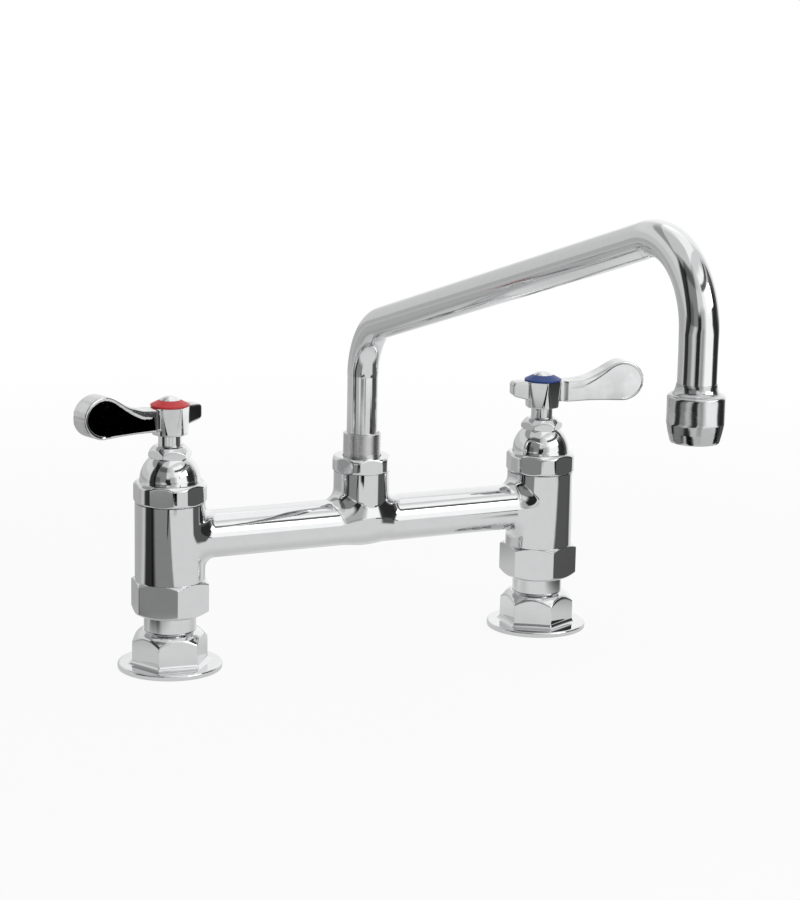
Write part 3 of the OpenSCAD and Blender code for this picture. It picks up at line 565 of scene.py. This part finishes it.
def body_surface(p):
    """Bridge casting: level tube, two barrels and the post, with fillets between them."""
    x, y, z = p[:, 0], p[:, 1], p[:, 2]
    bridge = np.maximum(np.hypot(y, z - AXIS_Z) - BRIDGE_R, np.abs(x) - HALF)
    left = np.hypot(x + HALF, y) - BARREL_R
    right = np.hypot(x - HALF, y) - BARREL_R
    below = np.minimum(z - (AXIS_Z + 4.5), 0.0)
    post = np.sqrt(x * x + y * y + below * below) - POST_R
    d = round_union(bridge, post, POST_FILLET)
    d = round_union(d, left, BARREL_FILLET)
    return round_union(d, right, BARREL_FILLET)


def casting():
    bm = bmesh.new()
    for x in (-HALF, HALF):
        add_rod(bm, (x, 0, BARREL_LOW - 2.0), (x, 0, 85.0), 17.4, 96)
    add_rod(bm, (-HALF, 0, AXIS_Z), (HALF, 0, AXIS_Z), 12.2, 64)
    add_rod(bm, (0, 0, AXIS_Z - 2), (0, 0, 93.0), 14.4, 96)
    bm = drawn(remeshed(bm, 0.8), body_surface, 4.0)
    cut(bm, lambda c: abs(c.x) > 60, (0, 0, BARREL_TOP), (0, 0, 1))
    cut(bm, lambda c: abs(c.x) > 60, (0, 0, BARREL_LOW), (0, 0, -1))
    cut(bm, lambda c: abs(c.x) < 40, (0, 0, POST_TOP), (0, 0, 1))
    bmesh.ops.recalc_face_normals(bm, faces=bm.faces)
    obj = to_object(bm, "bridge_look", "faucet", "bridge_body", chrome_cast, weighted=False)
    true_normals(obj, body_surface, 0.68)


casting()


# Lever handles, drawn in their own frame: x runs out along the lever, z up

LEVER_UPPER = [(-4.0, 130.3, 0.0), (12.0, 130.3, 0.0), (18.0, 130.65, 0.13), (25.0, 132.6, 0.38),
               (31.0, 135.4, 0.52), (36.0, 138.2, 0.50), (41.6, 139.95, 0.0)]
LEVER_LOWER = [(-4.0, 119.6, 0.0), (10.0, 119.5, 0.0), (24.0, 119.9, 0.0), (34.0, 119.75, -0.04),
               (41.6, 119.45, 0.0)]
PADDLE = (41.6, 129.7, 11.5, 10.25)     # centre x and z, half length, half height
DISH = 0.28                             # depth of the hollow in each side of the paddle


def smooth_curve(x, knots):
    """Cubic through (x, value, slope) knots."""
    out = np.full_like(x, knots[0][1])
    for (x0, y0, m0), (x1, y1, m1) in zip(knots, knots[1:]):
        h = x1 - x0
        t = np.clip((x - x0) / h, 0, 1)
        y = ((2 * t**3 - 3 * t**2 + 1) * y0 + (t**3 - 2 * t**2 + t) * h * m0
             + (3 * t**2 - 2 * t**3) * y1 + (t**3 - t**2) * h * m1)
        out = np.where(x >= x0, y, out)
    return out


def ramp(value, start, length):
    return np.clip((value - start) / length, 0, 1)


def soft_ramp(value, start, length):
    t = ramp(value, start, length)
    return t * t * (3 - 2 * t)


def lever_arm(x, y, z):
    """Neck, sloped shoulder and paddle, with a hollow in each side."""
    upper = z - smooth_curve(x, LEVER_UPPER)
    span = np.maximum(upper, smooth_curve(x, LEVER_LOWER) - z) * 0.93
    cx, cz, rx, rz = PADDLE
    k0 = np.sqrt(((x - cx) / rx) ** 2 + ((z - cz) / rz) ** 2) + 1e-9
    k1 = np.sqrt(((x - cx) / rx**2) ** 2 + ((z - cz) / rz**2) ** 2) + 1e-9
    head = k0 * (k0 - 1) / k1
    outline = np.where(x < cx, np.maximum(span, -x), head)
    half = 3.9 + 1.75 * ramp(x, 10.2, 1.9) - 0.35 * ramp(x, 30, 22)
    edge = np.where(x < cx, upper, head) + 2.4 * ramp(-x, -36.0, 16)
    dish = DISH * soft_ramp(-edge, 0.5, 1.1) * soft_ramp(x, 12.0, 16.0)
    return round_common(outline, np.abs(y) - half + dish, 0.8)


def lever_stub(x, y, z):
    """Short square stub behind the hub, its top drooping and its underside rising."""
    top = z - 130.35 + 0.02 * (x + 12) ** 2 * (x < -12)
    low = 119.9 + 0.26 * np.maximum(-x - 6.0, 0) - z
    end = -x - 16.9
    side = round_common(round_common(top, low * 0.96, 1.2), end, 1.8)
    return round_common(np.maximum(side, x), np.abs(y) - 3.7, 1.0)


def lever_hub(x, y, z):
    """Hexagon with its corners turned to a taper."""
    flats = np.full_like(x, -1e3)
    for i in range(6):
        a = math.radians(60 * i)
        flats = np.maximum(flats, x * math.cos(a) + y * math.sin(a) - 8.3)
    turned = np.hypot(x, y) - (8.75 + 0.85 * ramp(z, 117.2, 12.0))
    hub = round_common(flats, turned, 0.35)
    hub = round_common(hub, z - LEVER_TOP, 0.5)
    return round_common(hub, LEVER_LOW - z, 0.7)


def lever_surface(p):
    x, y, z = p[:, 0], p[:, 1], p[:, 2]
    return round_union(lever_hub(x, y, z), np.minimum(lever_arm(x, y, z), lever_stub(x, y, z)), 0.7)


def handle(side, x, bearing):
    bm = bmesh.new()
    add_rod(bm, (0, 0, 116.2), (0, 0, 130.5), 9.6)
    for mid_x, mid_z, size in ((22, 125.4, (44, 10.5, 11.6, 1)), (-9, 125.2, (16, 7.6, 10.6, 1))):
        bmesh.ops.create_cube(bm, size=1.0,
                              matrix=Matrix.Translation((mid_x, 0, mid_z)) @ Matrix.Diagonal(size))
    add_rod(bm, (PADDLE[0], -5.0, PADDLE[1]), (PADDLE[0], 5.0, PADDLE[1]), 10.6, 64)
    lying = Matrix.Rotation(math.pi / 2, 4, "Y") @ Matrix.Diagonal((1, 0.5, 1, 1))
    bmesh.ops.create_cone(bm, cap_ends=True, segments=48, radius1=7.0, radius2=9.5, depth=14.0,
                          matrix=Matrix.Translation((31, 0, 129.3)) @ lying)
    bm = drawn(remeshed(bm, 0.42), lever_surface, 4.5, rounds=4)
    bmesh.ops.recalc_face_normals(bm, faces=bm.faces)
    turn = Matrix.Rotation(bearing, 3, "Z")
    for v in bm.verts:
        v.co = turn @ v.co
    obj = to_object(bm, side + "_lever_look", side + "_handle", side + "_lever_handle",
                    chrome_lever, (x, 0.0), weighted=False)
    unturn = np.array(turn)
    true_normals(obj, lambda p: lever_surface((p - np.array([x, 0.0, 0.0])) @ unturn), 0.0)


handle("hot", -HALF, HOT_DIR)
handle("cold", HALF, COLD_DIR)


# Spout: a circle carried up the riser, round both bends and down to the nozzle

def spout_tube():
    bend_r, tilt = 32.0, math.radians(16.1)
    low, riser_top, end = 93.0, 138.4, 180.02
    first_bend, second_bend = math.pi / 2 - tilt, math.pi / 2 + tilt
    leg_y, leg_z = bend_r * (1 - math.cos(first_bend)), riser_top + bend_r * math.sin(first_bend)
    leg_run = SPOUT_REACH - leg_y - bend_r * (1 + math.sin(tilt))
    leg_rise = leg_run * math.tan(tilt)
    drop_top = leg_z + leg_rise - bend_r * math.cos(tilt)
    first_centre, second_centre = (0, -bend_r, riser_top), (0, -SPOUT_REACH + bend_r, drop_top)
    # a stretch is a way and a number of steps, or a centre, an angle and a number of steps
    stretches = [((0, 0, riser_top - low), 6), (first_centre, first_bend, 28),
                 ((0, -leg_run, leg_rise), 24), (second_centre, second_bend, 40),
                 ((0, 0, end - drop_top), 4)]
    bm = bmesh.new()
    skins, directed = [], set()
    # each skin's faces are directed before the two are joined: the outer's outwards, the bore's
    # into the bore
    for r in (TUBE_R, TUBE_BORE):
        ring = bmesh.ops.create_circle(bm, segments=96, radius=r,
                                       matrix=Matrix.Translation((0, 0, low)))["verts"]
        first = edges = list({e for v in ring for e in v.link_edges})
        for way, *angle, steps in stretches:
            if angle:
                res = bmesh.ops.spin(bm, geom=edges, cent=way, axis=(1, 0, 0), angle=angle[0],
                                     steps=steps)
                edges = [e for e in res["geom_last"] if isinstance(e, bmesh.types.BMEdge)]
                continue
            for _ in range(steps):
                res = bmesh.ops.extrude_edge_only(bm, edges=edges)
                new = [v for v in res["geom"] if isinstance(v, bmesh.types.BMVert)]
                bmesh.ops.translate(bm, verts=new, vec=Vector(way) / steps)
                edges = [e for e in res["geom"] if isinstance(e, bmesh.types.BMEdge)
                         and all(v in new for v in e.verts)]
        skins.append((first, edges))
        skin = [f for f in bm.faces if f not in directed]
        bmesh.ops.recalc_face_normals(bm, faces=skin)
        if r == TUBE_BORE:
            bmesh.ops.reverse_faces(bm, faces=skin)
        directed.update(skin)
    for end_edges in zip(*skins):
        bmesh.ops.bridge_loops(bm, edges=end_edges[0] + end_edges[1])

    def in_bend(y, z, centre):
        return max(0.0, 1 - abs(math.hypot(y + centre[1], z - centre[2]) - bend_r) / 12)

    # the tube grows slightly wider across each bend
    for v in bm.verts:
        y, z = -v.co.y, v.co.z
        share = 0.0
        if y < bend_r + 2 and z > riser_top:
            share = in_bend(y, z, first_centre)
        elif z > drop_top - 2 and y > SPOUT_REACH - 1.35 * bend_r:
            share = in_bend(y, z, second_centre)
        v.co.x *= 1 + 0.02 * min(1.0, 1.6 * share)
    to_object(bm, "spout_tube_look", "spout", "spout_tube", chrome_tube, sharp=50.0)


def spout_nut():
    """Turned nut on the post, with six small flats."""
    post_bore, ferrule_bore, low, shelf, nut_r = 12.25, 9.65, POST_TOP + 0.02, 96.9, 15.05
    path = rounded([(post_bore, low), (13.8, low, 0.4), (nut_r, 91.9, 1.0), (nut_r, 97.3, 1.4),
                    (13.9, 98.65, 0.8), (ferrule_bore, 98.7, 0.2), (ferrule_bore, shelf),
                    (post_bore, shelf)])
    to_object(hexed(divided(path, 0.3), 27.8, 56.5), "spout_nut_look", "faucet",
              "spout_nut", chrome_turned, sharp=55.0)


def ferrule():
    """Satin sleeve that the tube is soldered into."""
    outer, socket_r, low, shelf, top = 9.35, 7.8, 80.6, 92.6, 110.2
    path = rounded([(TUBE_BORE, low), (8.9, low, 0.3), (outer, 81.3), (outer, 110.0, 0.25),
                    (8.95, top, 0.15), (8.5, 110.15, 0.2), (socket_r, 109.5), (socket_r, shelf),
                    (TUBE_BORE, shelf)])
    to_object(spun(divided(path, 1.2), 128), "ferrule_look", "spout", "spout_ferrule", satin)


def nozzle():
    """Outlet nozzle: tapered lip, straight body and a flare up to the tube."""
    lip, lip_r, body_r, flare_r, socket_r = 166.5, 8.7, 11.3, 10.6, 7.8
    tube_end, flare_top = 180.0, 189.5
    path = rounded([(lip_r, lip, 0.2), (9.5, lip, 0.5), (9.8, 167.4, 0.8), (10.6, 170.6, 3.0),
                    (body_r, 174.2, 4.0), (body_r, 184.5, 0.9), (flare_r, 185.2, 0.2)])
    path += arc(flare_r, flare_top, 2.55, 4.3, 270, 180, 12)
    path += [(socket_r, flare_top), (socket_r, tube_end), (lip_r, tube_end)]
    to_object(spun(divided(path, 0.7), 128), "nozzle_look", "spout", "nozzle", chrome_nozzle,
              (0.0, -SPOUT_REACH), 50.0)


spout_tube()
spout_nut()
ferrule()
nozzle()


# CAD pieces that stay as they are get their finishes

PAINT = {"chrome_plate": chrome_turned, "satin_steel": steel, "plain_brass": brass,
         "black_rubber": rubber, "ceramic": ceramic, "white_plastic": plastic,
         "red_enamel": red, "blue_enamel": blue}
slots = {s["node"]: s["material_slot"] for s in frame["record"]["subparts"]}
for name, obj in frame["nodes"].items():
    obj.data.materials.clear()
    obj.data.materials.append(PAINT[slots[name]])


# Studio: pale floor, white surroundings, soft lamps, and the shades of the room that metal shows.
# A shade has a bearing, half width, soft edge and top in degrees, how dark it is (bright below zero),
# and from where to where it lies on the floor, in metres from the faucet.

FLOOR = -20.0       # top of a shade that lies on the floor alone
FAR = 9.0
SHADES = [
    (-179.0, 9.0, 9.0, 38.0, 0.95, 0.15, FAR),          # dark curtain on the left
    (-149.0, 23.0, 4.0, 50.0, 0.66, 0.15, 0.46),        # grey wall beside it
    (-137.5, 4.0, 2.5, FLOOR, -0.70, 0.46, 0.75),       # and a pale gap at its foot
    (-160.0, 7.0, 10.0, 12.0, 0.50, 0.70, FAR),         # low panel between the two
    (-117.5, 7.0, 4.0, 8.0, 0.97, 0.55, FAR),           # the camera's stand
    (-98.0, 10.0, 8.0, 14.0, 0.38, 0.85, FAR),          # low panel beside the stand
    (-97.0, 4.0, 3.0, FLOOR, 0.50, 0.45, 0.75),         # and a strip before it
    (-17.0, 22.0, 7.0, 28.0, 0.86, 0.14, FAR),          # dark doorway on the right
    (-24.0, 13.0, 10.0, 18.0, 0.75, 0.60, FAR),         # and its darker side
    (-62.0, 24.0, 12.0, 52.0, -0.50, 0.60, FAR),        # bright window in front
    (48.0, 20.0, 14.0, 50.0, -0.35, 0.30, FAR),         # and a lesser one behind
    (112.0, 38.0, 18.0, 12.0, 0.17, 0.60, FAR),         # pale wall behind
    (112.0, 38.0, 18.0, FLOOR, 0.34, 0.12, 0.50),       # the shade at its foot
    (110.0, 50.0, 20.0, FLOOR, 0.22, 0.05, 0.20),       # and the faucet's own painted shadow on the floor close behind it
]
CEILING = (165.0, 58.0, 40.0, 40.0, 0.55)               # shaded ceiling from a height upwards


def across(s, bearing, centre, half, soft, depth):
    """How dark a shade is at one bearing."""
    off = abs((bearing - centre).wrapped(-180.0, 180.0))
    return s.ease(off, half, half + soft, depth, 0.0)


def room_on_floor(s, bearing, out):
    """What metal sees of the room on the floor, some way out."""
    light = 0.88
    for centre, half, soft, _, depth, start, stop in SHADES:
        mask = across(s, bearing, centre, half, soft, depth) * s.ease(out, start, start * 1.5)
        if stop < FAR:
            mask = mask * s.ease(out, stop, stop * 1.3, 1.0, 0.5)
        light = (1.0 - mask) * light
    return light


def room_on_walls(s, bearing, height):
    """What metal sees of the room in one direction above the floor."""
    light = 0.88
    for centre, half, soft, top, depth, *_ in SHADES:
        mask = across(s, bearing, centre, half, soft, depth)
        light = (1.0 - mask * s.ease(height, top, top + 10.0, 1.0, 0.0)) * light
    *place, low, depth = CEILING
    mask = across(s, bearing, *place, depth) * s.ease(height, low - 5.0, low)
    return (1.0 - mask) * light


def lying_on_floor(s, x, y):
    """A two-tone mat and a small dark tool, as the light that they leave."""
    # the mat, set askew, is in the left lever's flat faces alone
    mat_at, mat_half, mat_shift = 0.55, (0.095, 0.10), 0.02
    u, v = (x - y) * math.sqrt(0.5) - mat_at, (x + y) * math.sqrt(0.5)
    tone = s.ease(v, -0.004, 0.002, 0.0, 0.12)
    off = abs(u / mat_half[0]) ** 6.0 + abs((v + mat_shift) / mat_half[1]) ** 6.0
    mat = tone + (1.0 - tone) * s.ease(off, 0.8, 1.3)
    # the tool lies in front on the left, its thin end towards the faucet
    tip, blade_end, blade_x = -0.234, 0.14, -0.237
    along = tip - y
    blade = (s.ease(abs(x - blade_x + along * 0.23) - along * 0.13, 0.0, 0.006)
             + s.ease(along, 0.02, 0.03, 1.0, 0.0)).max(s.ease(along, blade_end, blade_end + 0.01))
    grip = s.ease(abs(x + 0.20), 0.10, 0.12) + s.ease(abs(y + 0.42), 0.04, 0.06)
    return mat * blade.min(1.0) * grip.min(1.0)


def floor():
    bm = bmesh.new()
    bmesh.ops.create_grid(bm, x_segments=2, y_segments=2, size=6.0)
    mesh = bpy.data.meshes.new("floor")
    bm.to_mesh(mesh)
    bm.free()
    obj = bpy.data.objects.new("floor", mesh)
    bpy.context.scene.collection.objects.link(obj)
    obj.location.z = -0.0002
    s = Shader("floor_white")
    x, y, _ = s.parts(s.coords("Object"))
    out = (x * x + y * y) ** 0.5
    # painted shadow: metal sees the floor darker in a strip under the bridge, standing in for the
    # bridge's shadow
    painted_bridge_shadow = s.ease(abs(y), 0.0, 0.06, 0.84, 1.0)
    shown = room_on_floor(s, y.angle_to(x), out) * lying_on_floor(s, x, y) * painted_bridge_shadow
    eye, metal = s.seen_by("Camera", "Transmission"), s.seen_by("Glossy")
    # the eye sees white that lets a little of the object's shadow through near it
    white = s.ease(out, 0.25, 0.9, 0.90, 1.0)
    lit = s.node("BsdfDiffuse", Color=(0.86, 0.86, 0.86, 1.0))
    own = s.node("Emission", Color=eye + metal * shown, Strength=1.0)
    obj.data.materials.append(s.finish(s.node("MixShader", eye * white + metal, lit, own)))


def world():
    bpy.context.scene.world = bpy.data.worlds.new("studio")
    s = Shader("studio", bpy.context.scene.world)
    x, y, z = s.parts(s.coords("Generated"))
    bearing, height = y.angle_to(x), z.arcsine()
    # the dark seam between two ceiling panels, in front alone
    seam_height, seam_bearing = 41.0, -45.0
    beside = s.ease(abs((bearing - seam_bearing).wrapped(-180.0, 180.0)), 38.0, 48.0)
    seam = s.ease(abs(height - seam_height), 2.6, 5.0, 0.1, 1.0).max(beside)
    shown = room_on_walls(s, bearing, height) * seam
    eye, metal = s.seen_by("Camera", "Transmission"), s.seen_by("Glossy")
    soft_fill = 0.55
    back = s.node("Background", Color=eye + metal * shown + (1.0 - eye - metal) * soft_fill,
                  Strength=1.0)
    s.finish(back, "World")


def lamp(name, at, aim, size, power):
    data = bpy.data.lights.new(name, "AREA")
    data.shape = "RECTANGLE"
    data.size, data.size_y = size
    data.energy = power
    obj = bpy.data.objects.new(name, data)
    bpy.context.scene.collection.objects.link(obj)
    obj.location = at
    obj.rotation_euler = (Vector(aim) - Vector(at)).to_track_quat("-Z", "Y").to_euler()


floor()
world()
lamp("key", (0.85, -1.20, 0.80), (0, -0.1, 0.08), (1.0, 0.5), 5.5)
lamp("top", (-0.1, 0.1, 1.8), (0, -0.1, 0.05), (2.2, 1.6), 4)
